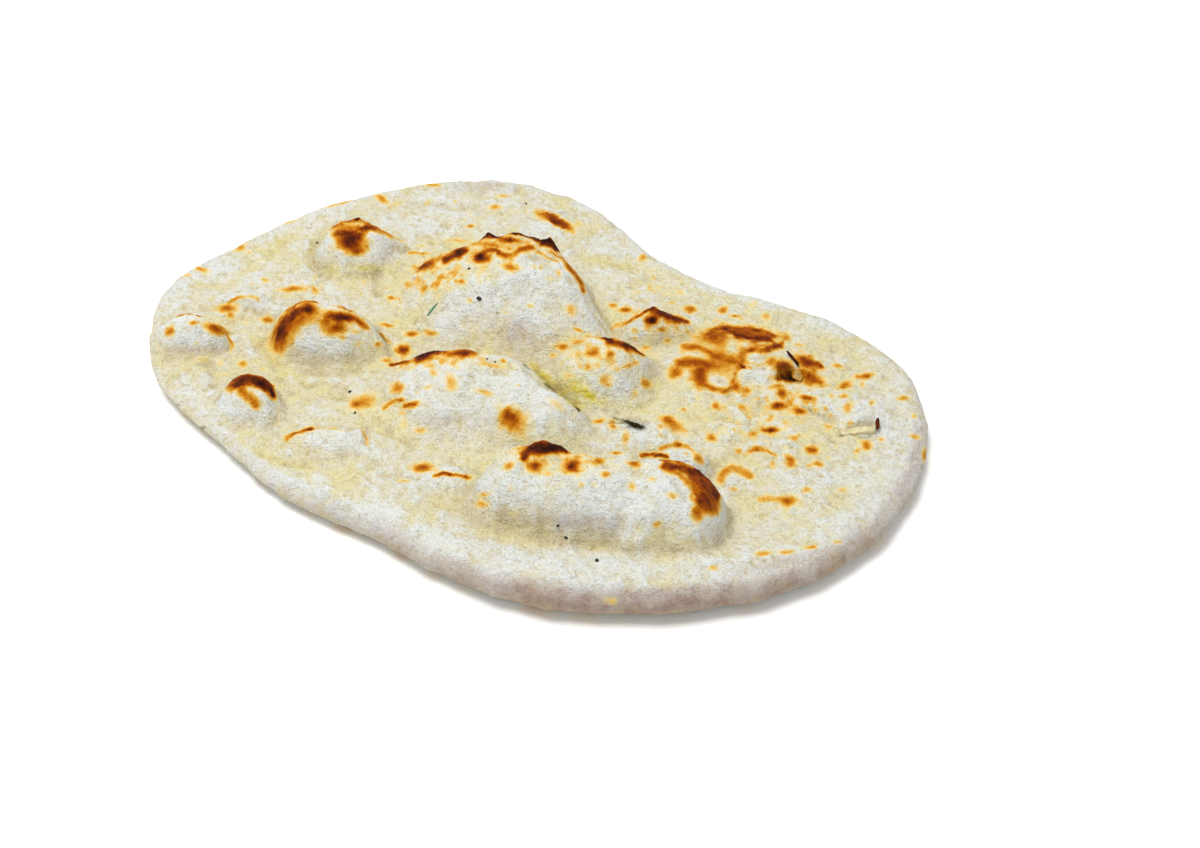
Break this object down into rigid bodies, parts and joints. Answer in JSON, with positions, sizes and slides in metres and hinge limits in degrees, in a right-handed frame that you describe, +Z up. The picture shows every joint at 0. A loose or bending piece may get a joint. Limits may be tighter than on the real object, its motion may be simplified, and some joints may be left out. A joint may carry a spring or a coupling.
{
  "type": "naan bread",
  "caption": "Oval hand-stretched flatbread with a pinched waist, a swollen rim and puffed, scorched blisters.",
  "frame": {"origin": "on the underside, under the middle of the bread, where it rests", "axes": "+X along the bread's length towards its thick rounded end, +Z up through the blistered side"},
  "size_m": [0.2989, 0.2042, 0.034],
  "materials": {
    "baked_dough": "dry, floury and matt, cream with brown scorch marks"
  },
  "bodies": {
    "root": {"naan_bread": "baked_dough"}
  },
  "joints": []
}
